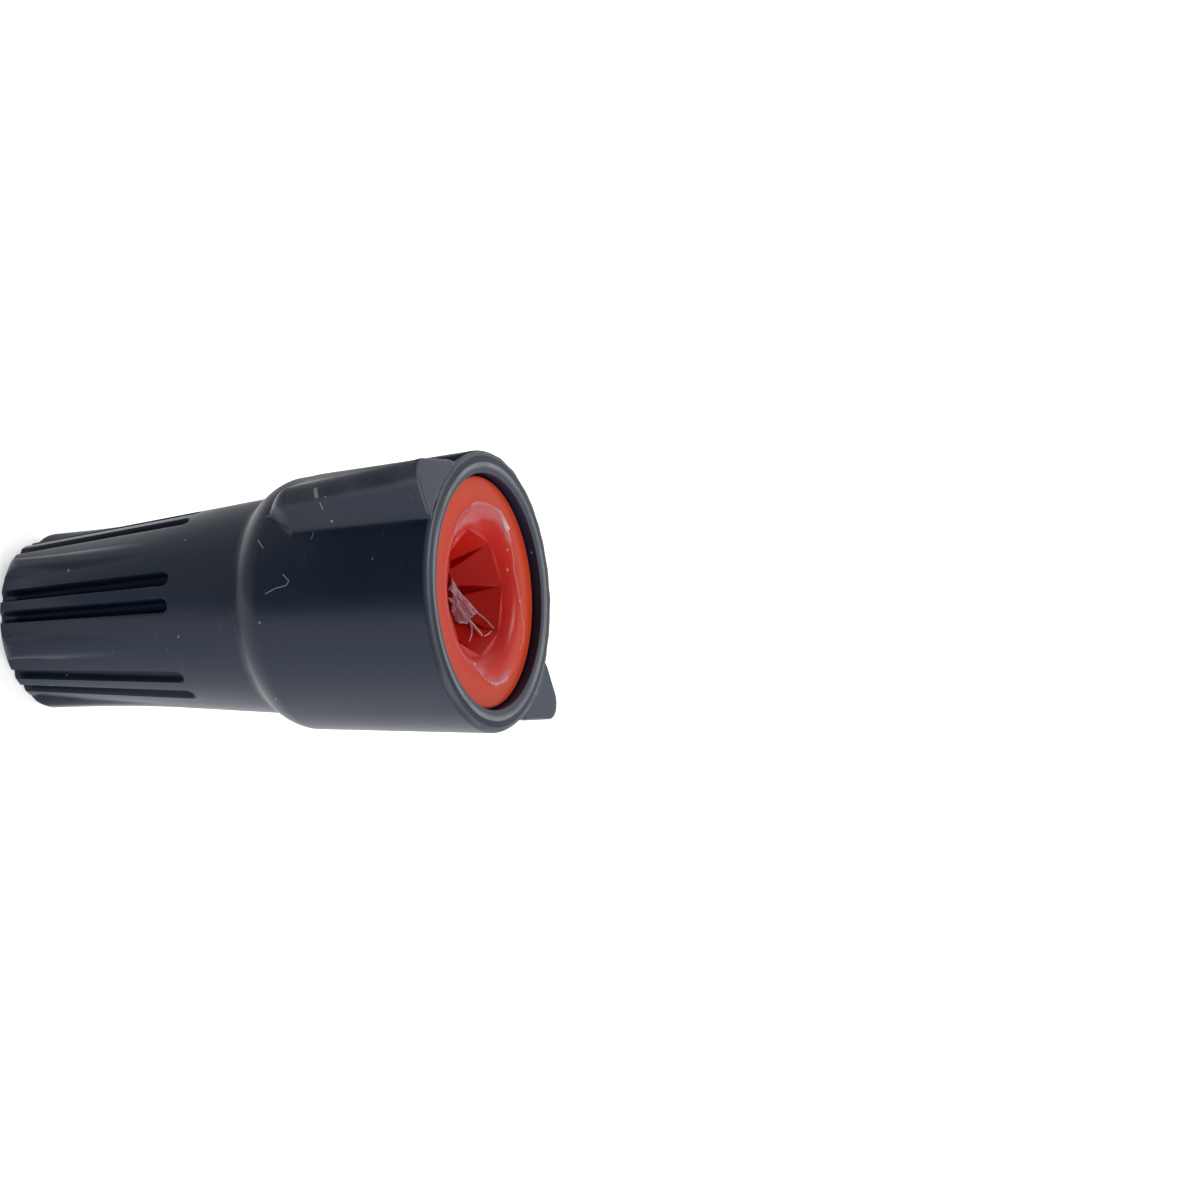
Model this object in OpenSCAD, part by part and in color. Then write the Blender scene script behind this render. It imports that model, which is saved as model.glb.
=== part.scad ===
// Twist-on wire connector with two wings, a funnel insert, a conical square-wire spring and sealant.
// It stands on its closed end: z = 0 is that end, and the mouth opens along +Z.

/* [Overall] */
// Length from the closed end to the mouth
overall_len = 35; // [29:0.5:42]
// Outer diameter at the mouth
mouth_d = 18.9; // [16:0.1:23]
// Length of the smooth skirt under the mouth
skirt_len = 13; // [11:0.5:15]
// Draft of the skirt's side in degrees
skirt_draft = 4; // [3:0.1:5]
// Length of the shoulder between skirt and grip
shoulder_len = 2.6; // [2.4:0.1:3.4]
// How much the radius drops at the shoulder
shoulder_step = 1.17; // [0.9:0.01:1.4]
// Softness of the crease under the shoulder
shoulder_ease = 0.9; // [0.8:0.05:1.6]

/* [Grip] */
// Draft of the grip's side in degrees
grip_draft = 5.7; // [4.5:0.1:6.5]
// Rounding at the edge of the closed end
end_round = 1.5; // [1.2:0.1:1.8]
// Number of raised ribs, with a pair of flutes between each two
rib_count = 6; // [4:1:7]
// Width of a rib
rib_w = 1.75; // [1.2:0.05:2.2]
// Rounding of a rib's edges
rib_round = 0.5; // [0.3:0.05:0.6]
// How far a rib stands out at the closed end
rib_rise = 0.65; // [0.4:0.05:0.8]
// Lean of a rib's crown in degrees
rib_draft = 1.25; // [0.5:0.05:2]
// Direction of the first rib, in degrees from +X
rib_turn = 19.7; // [0:0.1:60]
// Width of a flute
flute_w = 0.72; // [0.5:0.02:0.9]
// Depth of a flute's axis below the grip's surface
flute_sink = 0.06; // [0:0.01:0.15]
// Angle between the two flutes of a pair
flute_spread = 15.6; // [12:0.1:20]
// Plain length from the shoulder to the flutes' blunt ends
flute_gap = 5.3; // [3:0.1:7]

/* [Wings] */
// How far a wing's tip stands out from the mouth
wing_rise = 3.1; // [2.2:0.05:3.6]
// Rounding of a wing's tip
wing_round = 1.1; // [0.8:0.05:1.3]
// How far a wing stands out from the skirt at its rounded heel
heel_rise = 2.15; // [1.5:0.05:2.5]
// Height of that heel above the shoulder
heel_h = 2.3; // [1.8:0.1:3]
// Direction of a wing's tip, in degrees from +X
wing_turn = -41.5; // [-60:0.5:-20]
// Angle from a wing's tip to the root of its steep side
wing_steep = 11.5; // [8:0.5:16]
// Angle from a wing's tip to the end of its flat side
wing_flat = 35; // [28:0.5:42]
// Depth of a wing's root under the skirt's surface
wing_root = 0.35; // [0.25:0.01:0.45]
// Step down from the rim to a wing's end
wing_drop = 0.15; // [0.1:0.05:0.5]

/* [Mouth and insert] */
// Width of the rim around the insert's recess
rim_w = 1.55; // [1.4:0.01:1.9]
// Rounding of the rim's outer edge
rim_round = 0.44; // [0.2:0.02:0.6]
// Width of the rim's inner bevel
bevel_w = 0.6; // [0.4:0.05:0.8]
// Fall of the rim's inner bevel
bevel_h = 0.1; // [0.05:0.05:0.4]
// Depth of the insert's face below the rim
insert_drop = 0.68; // [0.4:0.02:0.9]
// Gap around the insert's flange
flange_gap = 0.12; // [0.06:0.02:0.3]
// Thickness of the insert's flange
flange_thick = 1.2; // [0.9:0.1:1.6]
// Rounding of the flange's outer edge
flange_round = 0.2; // [0.1:0.05:0.4]
// Width of the flange's seat on the shell
flange_lip = 0.9; // [0.6:0.05:1.1]
// Length of the insert below its flange
insert_len = 11.8; // [9:0.1:13]
// Gap of the insert in its socket
fit_gap = 0.08; // [0.05:0.01:0.15]
// Draft of the insert's outside in degrees
insert_draft = 2; // [1:0.1:3]
// Bore of the throat that leads into the spring
throat_d = 4.7; // [3.8:0.1:5.8]
// Length of the throat
throat_len = 1.5; // [1.2:0.1:2.4]
// Width of the ledge where the lead-in meets the throat
throat_ledge = 0.05; // [0.03:0.01:0.2]
// Number of flat sides on the lead-in
lead_sides = 8; // [6:1:10]
// Turn of the lead-in's corners, in degrees from +X
lead_turn = 5.9; // [-22:0.1:22]
// How much the lead-in's corners open out from the throat
lead_flare = 1.67; // [1.3:0.01:2]
// Half angle of the lead-in's corners in degrees
lead_slope = 32.7; // [27:0.1:40]
// Width of the slits at the lead-in's corners
slit_w = 0.3; // [0.15:0.01:0.4]
// Depth of the slits at the throat
slit_depth = 0.5; // [0.2:0.05:0.7]
// Share of a corner left plain above its slit
slit_start = 0.15; // [0.05:0.05:0.4]
// Radius of the rounded lip above the lead-in
lip_round = 2; // [1.6:0.05:2.4]
// How far that lip turns down towards the lead-in, in degrees
lip_turn = 46; // [38:0.5:50]

/* [Spring] */
// Side of the square wire
wire_side = 0.9; // [0.7:0.05:1.1]
// Number of turns
spring_turns = 11; // [8:0.5:12]
// Axial gap between two turns
coil_gap = 0.52; // [0.45:0.01:0.7]
// How far the first turn bites inside the throat
spring_bite = 0.1; // [0:0.02:0.3]
// How much the inner radius shrinks towards the closed end
spring_taper = 1.1; // [0.8:0.05:1.4]
// Gap around the spring and at its two ends
spring_gap = 0.3; // [0.2:0.05:0.5]
// Width of the ledge under the last turn
ledge_w = 0.85; // [0.6:0.05:1]
// Wall left at the closed end
end_wall = 2.6; // [2:0.1:3]

/* [Sealant] */
// Thickness of the sealant films
film_thick = 0.16; // [0.1:0.01:0.25]
// Gap under the films and round the plug
film_gap = 0.04; // [0.02:0.01:0.1]
// Size of the largest lobe of a film
lobe_d = 2.2; // [1.6:0.1:2.6]
// Thickness of a drawn-out strand
strand_d = 0.26; // [0.2:0.02:0.36]
// Width of the web that hangs above the throat
web_w = 1.7; // [1.2:0.1:2.1]
// Share of the web's width lost towards its strands
web_narrow = 0.7; // [0.4:0.05:0.85]
// How far web and strands arch away from the wall
strand_arch = 0.12; // [0.05:0.01:0.3]
// Room left above the plug
plug_drop = 0.5; // [0.3:0.1:1]
// How much the hollow in the plug outgrows the plug
plug_bowl = 1.2; // [1.1:0.05:1.5]

/* [Hidden] */
$fn = 96;
eps = 0.02;
over = 1;
mouth_r = mouth_d / 2;
skirt_end_r = mouth_r - skirt_len * tan(skirt_draft);
shoulder_z = overall_len - skirt_len;
grip_z = shoulder_z - shoulder_len;
grip_r = skirt_end_r - shoulder_step;
grip_end_r = grip_r - grip_z * tan(grip_draft);
rib_end_r = grip_end_r + rib_rise;
rib_step = 360 / rib_count;
flute_top = grip_z - flute_gap;
recess_r = mouth_r - rim_w;
flange_r = recess_r - flange_gap;
insert_top = overall_len - insert_drop;
flange_z = insert_top - flange_thick;
barrel_r = flange_r - flange_lip;
insert_end = flange_z - insert_len;
barrel_end_r = barrel_r - insert_len * tan(insert_draft);
throat_r = throat_d / 2;
lead_corner = 1 / cos(180 / lead_sides);
lead_end_r = (throat_r + throat_ledge) * lead_corner;
lead_r = lead_end_r + lead_flare;
lead_len = lead_flare / tan(lead_slope);
lip_r = lead_r + lip_round * sin(lip_turn);
lip_c = [lip_r, insert_top - lip_round];
lead_z = lip_c[1] + lip_round * cos(lip_turn);
throat_z = lead_z - lead_len;
ledge_z = throat_z - throat_len;
wire_half = wire_side / sqrt(2);
spring_pitch = 2 * wire_half + coil_gap;
spring_top_r = throat_r - spring_bite + wire_half;
spring_end_r = spring_top_r - spring_taper;
spring_top = ledge_z - spring_gap - wire_half;
spring_end = spring_top - spring_turns * spring_pitch;
chamber_r = spring_top_r + wire_half + spring_gap;
chamber_end_r = spring_end_r + wire_half + spring_gap;
chamber_z = spring_end - wire_half - spring_gap;
tip_r = chamber_end_r - ledge_w;
rings_per_turn = 24;
spring_rings = round(spring_turns * rings_per_turn);
// Lobes of the films: an angle, a radius beyond the lip and a share of the largest lobe
film_lobes = [[42, 0.1, 0.6], [52, -0.1, 0.8], [66, -0.5, 1], [84, -0.6, 0.9], [102, -0.7, 0.8],
    [118, -0.6, 0.7], [130, -0.5, 0.55]];
film_beads = [[56, 0.1, 0.45], [62, 0.1, 0.5], [68, 0, 0.4]];
smear_lobes = [[-104, -0.7, 0.5], [-92, -0.5, 0.6], [-80, -0.2, 0.75], [-68, 0.1, 0.8], [-56, 0.15, 0.6],
    [-46, 0.1, 0.5]];
smear_beads = [[-88, -0.2, 0.3], [-76, 0.1, 0.4], [-66, 0.2, 0.35]];
bead_rise = 2.2;
// Places of web and strands: an angle and a depth below the lead-in's top
web_foot = [6, 0.74 * lead_len];
web_end = [-27, 0.42 * lead_len];
long_end = [-34, 0.06 * lead_len];
short_end = [-45, 0.2 * lead_len];
web_lean = 0.6;

// Points along an arc, from angle a to angle b
function arc(c, r, a, b, n = 8) =
    [for (i = [0 : n]) c + r * [cos(a + (b - a) * i / n), sin(a + (b - a) * i / n)]];

// Skirt radius at height z
function skirt_r(z) = mouth_r - (overall_len - z) * tan(skirt_draft);

// Curve of the shoulder: it leaves the grip at a crease and eases over into the skirt
function shoulder_r(s) = grip_r + shoulder_step * pow(sin(90 * s), shoulder_ease);
function shoulder_points(n = 10) =
    [for (i = [0 : n]) [shoulder_r(i / n), grip_z + shoulder_len * i / n]];

// Revolved outside of skirt, shoulder and grip
module body_of_revolution() {
    rim_c = [skirt_r(overall_len) - rim_round, overall_len - rim_round];
    rotate_extrude()
        polygon(concat(
            [[0, -over], [grip_end_r - over * tan(grip_draft), -over]],
            shoulder_points(),
            arc(rim_c, rim_round, -skirt_draft, 90, 6),
            [[0, overall_len]]));
}

// Ribs with rounded edges that rise out of the grip towards the closed end
module ribs() {
    edge = rib_w / 2 - rib_round;
    section = concat(
        [[-rib_w, -rib_w / 2]],
        arc([-rib_round, -edge], rib_round, -90, 0, 4),
        arc([-rib_round, edge], rib_round, 0, 90, 4),
        [[-rib_w, rib_w / 2]]);
    for (i = [0 : rib_count - 1])
        rotate([0, 0, rib_turn + i * rib_step])
            translate([rib_end_r, 0, 0])
                rotate([0, rib_draft, 0])
                    translate([0, 0, -over])
                        linear_extrude(flute_top + over)
                            polygon(section);
}

// Pairs of round-bottomed flutes between the ribs
module flutes() {
    side_len = flute_top / cos(grip_draft);
    for (i = [0 : rib_count - 1], side = [-1, 1])
        rotate([0, 0, rib_turn + (i + 0.5) * rib_step + side * flute_spread / 2])
            translate([grip_end_r - flute_sink, 0, 0])
                rotate([0, grip_draft, 0]) {
                    translate([0, 0, -over])
                        cylinder(d = flute_w, h = side_len + over);
                    translate([0, 0, side_len])
                        sphere(d = flute_w);
                }
}

// Rounded envelope that trims the closed end
module end_envelope() {
    crown_r = rib_end_r + eps;
    rotate_extrude()
        polygon(concat(
            [[0, 0]],
            arc([crown_r - end_round, end_round], end_round, -90, 0, 8),
            [[mouth_r + wing_rise + over, shoulder_z], [mouth_r + wing_rise + over, overall_len + over],
                [0, overall_len + over]]));
}

// One wing: its section at the mouth, drawn down to a rounded heel that dies away at the foot of the skirt
module wing() {
    tip_c = mouth_r + wing_rise - wing_round;
    heel_z = shoulder_z + heel_h;
    heel_c = skirt_r(heel_z) + heel_rise - wing_round;
    foot_z = shoulder_z;
    foot_r = skirt_r(foot_z) - eps;
    deep_r = mouth_r - wing_root;
    top_z = overall_len - wing_drop;
    hull() {
        translate([0, 0, top_z - eps])
            linear_extrude(eps) {
                rotate([0, 0, wing_turn])
                    translate([tip_c, 0])
                        circle(wing_round, $fn = 32);
                polygon([for (a = [wing_steep, 0, -wing_flat])
                    deep_r * [cos(wing_turn + a), sin(wing_turn + a)]]);
            }
        rotate([0, 0, wing_turn])
            translate([heel_c, 0, heel_z])
                sphere(wing_round, $fn = 32);
        translate([0, 0, foot_z])
            linear_extrude(eps)
                polygon([for (a = [wing_steep / 2 : -wing_steep / 2 : -wing_flat])
                    foot_r * [cos(wing_turn + a), sin(wing_turn + a)]]);
    }
}

// Hollow of the shell: recess and socket for the insert, then the spring's chamber and its tip
module shell_hollow() {
    seat_r = barrel_r + fit_gap;
    rotate_extrude()
        polygon([
            [0, end_wall], [tip_r, end_wall], [tip_r, chamber_z], [chamber_end_r, chamber_z],
            [chamber_r, insert_end - fit_gap], [barrel_end_r + fit_gap, insert_end - fit_gap],
            [seat_r, flange_z], [recess_r, flange_z], [recess_r, overall_len - bevel_h],
            [recess_r + bevel_w, overall_len], [recess_r + bevel_w, overall_len + over],
            [0, overall_len + over]]);
}

module outer_shell() {
    color("#2b3340")
        difference() {
            intersection() {
                union() {
                    body_of_revolution();
                    ribs();
                    for (turn = [0, 180])
                        rotate([0, 0, turn])
                            wing();
                }
                end_envelope();
            }
            flutes();
            shell_hollow();
        }
}

// Slits that run down the lead-in's corners and deepen towards the throat
module slits() {
    start_r = lead_r - slit_start * lead_flare;
    start_z = lead_z - slit_start * lead_len;
    foot_z = throat_z + eps;
    for (i = [0 : lead_sides - 1])
        rotate([0, 0, lead_turn + i * 360 / lead_sides])
            rotate([90, 0, 0])
                linear_extrude(slit_w, center = true)
                    polygon([
                        [start_r, start_z], [start_r - slit_depth, start_z],
                        [lead_end_r - slit_depth, foot_z], [lead_end_r + slit_depth, foot_z]]);
}

module funnel_insert() {
    color("#b5242b")
        difference() {
            rotate_extrude()
                polygon(concat(
                    [[throat_r, insert_end], [barrel_end_r, insert_end]],
                    [[barrel_r, flange_z], [flange_r, flange_z]],
                    arc([flange_r, insert_top] - flange_round * [1, 1], flange_round, 0, 90, 4),
                    arc(lip_c, lip_round, 90, 90 + lip_turn, 8),
                    [[throat_r, lead_z]]));
            rotate([0, 0, lead_turn])
                translate([0, 0, throat_z])
                    cylinder(r1 = lead_end_r, r2 = lead_r + eps * tan(lead_slope), h = lead_len + eps,
                        $fn = lead_sides);
            slits();
            translate([0, 0, insert_end - over])
                cylinder(r = chamber_r, h = ledge_z - insert_end + over);
        }
}

// Centre of the spring's wire on ring i, counted from the closed end
function coil_r(i) = spring_end_r + spring_taper * i / spring_rings;
function coil_z(i) = spring_end + spring_turns * spring_pitch * i / spring_rings;
function coil_corner(i, k) =
    let (a = 360 * i / rings_per_turn, r = coil_r(i) + wire_half * cos(90 * k))
    [r * cos(a), r * sin(a), coil_z(i) + wire_half * sin(90 * k)];

// Closed tube from rings of points, with its two ends capped
module ringed_tube(rings) {
    sides = len(rings[0]);
    last = len(rings) - 1;
    walls = [for (i = [0 : last - 1], k = [0 : sides - 1], half = [0, 1])
        let (a = i * sides + k, b = i * sides + (k + 1) % sides)
        half == 0 ? [a, b, a + sides] : [b, b + sides, a + sides]];
    foot = [for (k = [1 : sides - 2]) [0, k + 1, k]];
    top = last * sides;
    head = [for (k = [1 : sides - 2]) [top, top + k, top + k + 1]];
    polyhedron(points = [for (ring = rings) each ring], faces = concat(walls, foot, head));
}

module coil_spring() {
    color("#b9bcc0")
        ringed_tube([for (i = [0 : spring_rings]) [for (k = [3 : -1 : 0]) coil_corner(i, k)]]);
}

// Least gap between one turn and the next, from edge to edge of the wire
turn_gap = min([for (i = [0 : 4 : spring_rings - rings_per_turn], k = [0 : 3], j = [-3 : 3], m = [0 : 3])
    let (n = min(max(i + rings_per_turn + j, 0), spring_rings))
    norm(coil_corner(i, k) - coil_corner(n, m))]);
echo(spring_least_gap = turn_gap);

// Sealant left in the closed tip, with the hollow that the wires' ends leave
module sealant_plug() {
    plug_r = tip_r - film_gap;
    plug_top = chamber_z - plug_drop;
    color("#d8d2d8")
        difference() {
            translate([0, 0, end_wall + film_gap])
                cylinder(r = plug_r, h = plug_top - end_wall - film_gap);
            translate([0, 0, plug_top + plug_r])
                sphere(r = plug_r * plug_bowl);
        }
}

// Thin skin of sealant all round the flange's inner edge and the lip
module skin(thick) {
    under = insert_top + film_gap;
    out_r = (lip_r + flange_r) / 2;
    rotate_extrude()
        polygon(concat(
            [[out_r, under], [out_r, under + thick]],
            arc(lip_c, lip_round + film_gap + thick, 90, 90 + lip_turn, 8),
            arc(lip_c, lip_round + film_gap, 90 + lip_turn, 90, 8)));
}

// Residue: the skin where it lies under a few round lobes, each with an angle, a radius and a size
module residue(thick, lobes) {
    intersection() {
        skin(thick);
        union()
            for (lobe = lobes)
                rotate([0, 0, lobe[0]])
                    translate([lip_r + lobe[1], 0, lead_z - over])
                        cylinder(d = lobe_d * lobe[2], h = insert_top - lead_z + 2 * over);
    }
}

module sealant_film() {
    color("#d8cfd6") {
        residue(film_thick, film_lobes);
        residue(film_thick * bead_rise, film_beads);
    }
}

module sealant_smear() {
    color("#d8cfd6") {
        residue(film_thick, smear_lobes);
        residue(film_thick * bead_rise, smear_beads);
    }
}

// Point at angle a and some depth under the lead-in's top, lifted off the wall of the lead-in or throat
function wall_r(depth) =
    let (u = min(depth / lead_len, 1))
    throat_r * u + lead_r / lead_corner * (1 - u);
function wall_point(a, depth, lift) =
    let (r = wall_r(depth) - lift)
    [r * cos(a), r * sin(a), lead_z - depth];

// Sealant drawn along the wall between two places, each an angle and a depth, with a lens-shaped section
module drawn_out(from, to, w, thick) {
    steps = 12;
    lift = film_gap + thick / 2 + strand_d / 2;
    spine = [for (i = [0 : steps])
        let (u = i / steps, place = from + (to - from) * u)
        wall_point(place[0], place[1], lift + strand_arch * sin(180 * u))];
    ringed_tube([for (i = [0 : steps])
        let (
            a = from[0] + (to[0] - from[0]) * i / steps,
            ahead = spine[min(i + 1, steps)] - spine[max(i - 1, 0)],
            off = [-cos(a), -sin(a), web_lean],
            side = cross(ahead, off),
            across = side / norm(side) * w / 2 * (1 - web_narrow * i / steps),
            up = off / norm(off) * thick / 2)
        [for (k = [0 : 7]) spine[i] + across * cos(45 * k) + up * sin(45 * k)]]);
}

module sealant_strands() {
    color("#e4dde2") {
        drawn_out(web_foot, web_end, web_w, film_thick);
        drawn_out(web_end, long_end, strand_d, strand_d);
        drawn_out(web_end, short_end, strand_d, strand_d);
    }
}

outer_shell();
funnel_insert();
coil_spring();
sealant_plug();
sealant_film();
sealant_smear();
sealant_strands();
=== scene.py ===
import math

import bmesh
import bpy
import numpy as np
from bpy.props import FloatProperty, FloatVectorProperty, IntProperty, PointerProperty
from mathutils import Matrix, Vector, noise


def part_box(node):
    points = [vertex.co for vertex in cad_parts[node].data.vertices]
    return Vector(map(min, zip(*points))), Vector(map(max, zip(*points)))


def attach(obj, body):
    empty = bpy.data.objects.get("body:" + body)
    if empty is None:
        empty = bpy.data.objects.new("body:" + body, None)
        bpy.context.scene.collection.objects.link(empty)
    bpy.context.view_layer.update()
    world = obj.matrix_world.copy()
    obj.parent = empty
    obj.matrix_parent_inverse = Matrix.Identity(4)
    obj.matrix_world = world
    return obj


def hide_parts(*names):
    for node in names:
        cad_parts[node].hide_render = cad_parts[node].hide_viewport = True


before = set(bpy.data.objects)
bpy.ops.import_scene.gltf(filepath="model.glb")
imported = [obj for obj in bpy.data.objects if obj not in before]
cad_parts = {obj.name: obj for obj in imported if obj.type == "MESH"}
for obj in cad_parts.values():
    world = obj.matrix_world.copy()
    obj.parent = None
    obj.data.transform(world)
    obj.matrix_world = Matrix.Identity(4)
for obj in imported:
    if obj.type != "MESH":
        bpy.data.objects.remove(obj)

bl_info = {
    "name": "Twist Wire Connector",
    "version": (1, 0, 0),
    "blender": (4, 5, 0),
    "location": "3D View > Sidebar > Connector",
    "description": "Builds a winged twist connector with its insert, spring and sealant, and its stage",
    "category": "Object",
}

MM = 0.001
FULL_TURN = 2 * math.pi
WHITE = (1, 1, 1, 1)
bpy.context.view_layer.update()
SHELL_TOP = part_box("outer_shell")[1].z
INSERT_FOOT, INSERT_TOP = (corner.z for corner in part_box("funnel_insert"))
SHARP_ANGLE = math.radians(38)
MERGE_DIST = 1e-7
SLIVER_DIST = 1e-8
TINY = 1e-6


def size(name, mm, text):
    """A length setting, given in millimetres and kept in metres."""
    return FloatProperty(name=name, description=text, default=mm * MM, unit="LENGTH", precision=5)


def turn(name, degrees, text):
    """An angle setting."""
    return FloatProperty(name=name, description=text, default=math.radians(degrees), subtype="ANGLE")


def share(name, value, text):
    """A plain number between 0 and 1."""
    return FloatProperty(name=name, description=text, default=value, min=0, max=1, subtype="FACTOR")


def count(name, value, text):
    """A whole number of like things."""
    return IntProperty(name=name, description=text, default=value, min=1)


def tint(name, rgb, text):
    """A linear colour setting."""
    return FloatVectorProperty(name=name, description=text, default=rgb, size=3, min=0, max=1,
                               subtype="COLOR")


def triple(name, xyz, text, **kind):
    """A place in metres or a direction."""
    return FloatVectorProperty(name=name, description=text, default=xyz, size=3, **kind)


class ShellSettings(bpy.types.PropertyGroup):
    """Sizes and colours of the moulded outer shell."""
    mouth_d: size("Mouth diameter", 18.9, "Outside of the skirt at the mouth")
    skirt_len: size("Skirt length", 13, "From the mouth down to the shoulder")
    skirt_draft: turn("Skirt draft", 4, "Lean of the skirt's wall")
    shoulder_len: size("Shoulder length", 2.35, "From the skirt down to the grip")
    shoulder_step: size("Shoulder step", 1.17, "Drop in radius from skirt to grip")
    shoulder_ease: share("Shoulder softness", 0.75, "Softness of the crease below")
    grip_draft: turn("Grip draft", 5.7, "Lean of the grip's wall")
    end_round: size("End rounding", 1.5, "Rounding round the closed end")
    rib_count: count("Ribs", 6, "Ribs round the grip, with two flutes in each space")
    rib_w: size("Rib width", 1.75, "Width of a rib")
    rib_round: size("Rib rounding", 0.7, "Rounding along a rib's edges")
    rib_fillet: size("Rib fillet", 0.4, "Softness of a rib's foot")
    rib_rise: size("Rib rise", 0.65, "Height at the closed end")
    rib_draft: turn("Rib draft", 1.25, "Lean of a rib's crown")
    rib_turn: turn("First rib", 19.7, "Angle round the axis")
    flute_w: size("Flute width", 0.84, "Width of a flute")
    flute_depth: size("Flute depth", 0.62, "Depth below the grip's wall")
    flute_spread: turn("Flute spread", 15.6, "Angle between a pair of flutes")
    flute_gap: size("Flute gap", 5.95, "Plain grip above the flutes")
    wing_rise: size("Wing rise", 3.1, "Reach beyond the skirt at the mouth")
    wing_round: size("Wing rounding", 1.1, "Radius of a wing's tip")
    heel_rise: size("Heel rise", 2.15, "Reach beyond the skirt at a wing's heel")
    heel_h: size("Heel height", 2.3, "Height above the shoulder")
    wing_turn: turn("Wing angle", -41.5, "Angle of the first tip round the axis")
    wing_steep: turn("Steep side", 11.5, "Angle that a wing's steep side takes up")
    wing_flat: turn("Flat side", 31, "Angle that a wing's flat side takes up")
    wing_root: size("Wing root", 0.35, "Depth of a wing's root in the skirt")
    wing_drop: size("Wing drop", 0.15, "Drop of an end face below the rim")
    wing_edge: size("Wing edge", 0.22, "Rounding round an end face")
    wing_fillet: size("Wing fillet", 0.5, "Softness of a wing's foot")
    rim_w: size("Rim width", 1.55, "Wall of the skirt at the mouth")
    rim_round: size("Rim rounding", 0.44, "Rounding round the rim's outer edge")
    bevel_w: size("Bevel width", 0.6, "Shallow bevel inside the rim")
    bevel_h: size("Bevel drop", 0.1, "Drop of that bevel")
    land_drop: size("Land drop", 0.06, "Drop of the rim's land below its crest")
    crest_w: size("Crest width", 0.2, "Fine crest between the land and the bevel")
    flash_h: size("Flash", 0.05, "Ragged moulding flash round the rim")
    chamber_end_r: size("Chamber foot", 2.723, "Radius of the spring's chamber at its foot")
    chamber_z: size("Chamber height", 8.015, "Height of the chamber's foot")
    tip_r: size("Tip bore", 1.873, "Radius of the bore below the chamber")
    end_wall: size("End wall", 2.6, "Thickness of the closed end")
    colour: tint("Plastic", (0.006, 0.0165, 0.040), "Dark navy plastic")
    # Pale colour of real scuffs and worn edges, also used for painted highlights on the shoulder's crease,
    # the heels, the wing tips and the rim.
    scuff_and_highlight: tint("Scuffs", (0.26, 0.267, 0.28), "Rubbed edges and fine scuffs")
    # Painted shade colour, mixed in as a dark matte finish down in the flutes and on the rim's land.
    shade: tint("Recesses", (0.002, 0.006, 0.014), "Duller plastic down in the flutes")
    dust: tint("Dust", (0.25, 0.26, 0.28), "Stray specks of dust")


class InsertSettings(bpy.types.PropertyGroup):
    """Sizes and colours of the funnel insert."""
    flange_r: size("Flange radius", 7.78, "Outside of the flange in the shell's recess")
    flange_thick: size("Flange thickness", 1.2, "Thickness of the flange")
    flange_round: size("Flange rounding", 0.2, "Rounding round the upper edge")
    flange_lip: size("Flange lip", 0.9, "Overhang beyond the barrel")
    draft: turn("Barrel draft", 2, "Lean of the barrel's wall")
    fit_gap: size("Fit", 0.08, "Gap between the barrel and its socket")
    throat_r: size("Throat radius", 2.35, "Round throat that the stripped wires pass")
    throat_len: size("Throat length", 1.5, "Length of the round throat")
    lead_sides: count("Lead-in sides", 8, "Flat facets of the lead-in")
    lead_turn: turn("Lead-in angle", 5.9, "Angle of the first corner")
    lead_end_r: size("Lead-in foot", 2.598, "Corner radius at the throat")
    lead_flare: size("Lead-in flare", 1.67, "Growth in corner radius up to the lip")
    lead_slope: turn("Lead-in slope", 32.7, "Lean of the corners")
    slit_w: size("Slit width", 0.55, "Slit in a corner, at the throat")
    slit_depth: size("Slit depth", 0.7, "Depth of that slit")
    lip_round: size("Lip rounding", 2, "Rounding from the flange into the lead-in")
    lip_turn: turn("Lip turn", 46, "Angle that this rounding turns through")
    chamber_r: size("Chamber radius", 3.823, "Bore round the spring")
    colour: tint("Plastic", (0.51, 0.015, 0.009), "Red plastic")
    # Painted glow: a warmer red that stands in for light passing through the thin flange.
    glow_red: tint("Thin walls", (0.59, 0.053, 0.017), "Warmer red where light passes the flange")


class SpringSettings(bpy.types.PropertyGroup):
    """Sizes and colour of the square-wire spring."""
    wire: size("Wire", 0.9, "Side of the square wire")
    wire_round: size("Wire rounding", 0.11, "Rounding along the wire's edges")
    turns: count("Turns", 11, "Turns of the spring")
    coil_gap: size("Turn gap", 0.52, "Gap from one turn to the next")
    top_r: size("Top radius", 2.886, "Top turn, to the wire's centre")
    taper: size("Taper", 1.1, "Loss of radius down to the last turn")
    colour: tint("Steel", (0.58, 0.57, 0.55), "Plated wire")


class SealantSettings(bpy.types.PropertyGroup):
    """Sizes and colour of the clear sealant."""
    film_thick: size("Film thickness", 0.2, "Thickness for a depth of 1")
    film_gap: size("Film gap", 0.03, "Gap above the plastic")
    lobe_d: size("Lobe", 2.2, "Width of a lobe with a share of 1")
    web_thick: size("Web thickness", 0.09, "Web across the lead-in")
    strand_d: size("Strand", 0.2, "Drawn strand with a share of 1")
    plug_bowl: size("Plug bowl", 0.5, "Hollow in the plug's top")
    colour: tint("Sealant", (0.74, 0.36, 0.46), "Cured sealant")


class StageSettings(bpy.types.PropertyGroup):
    """Camera, floor and dark card of the studio."""
    eye: triple("Camera", (-0.29876, -0.00914, 0.17960), "Where it stands", subtype="XYZ", unit="LENGTH")
    sight: triple("Sight line", (0.90902, 0.02464, -0.41603), "Where it looks", subtype="DIRECTION")
    upright: triple("Upright", (0, 0.99825, 0.05913), "Upwards in the picture", subtype="DIRECTION")
    lens: FloatProperty(name="Lens", description="Focal length in millimetres on a 36 mm film", default=150)
    floor_w: size("Floor", 3000, "Side of the square floor")
    floor: tint("Floor", (0.93, 0.93, 0.93), "Colour of the plain pale floor")
    flag: tint("Dark card", (0.012, 0.013, 0.015), "Colour of the dark card that only gloss shows")
    clear: triple("Clear spot", (0.008, 0.006, 0), "Where the card is clear", subtype="XYZ", unit="LENGTH")


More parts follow.
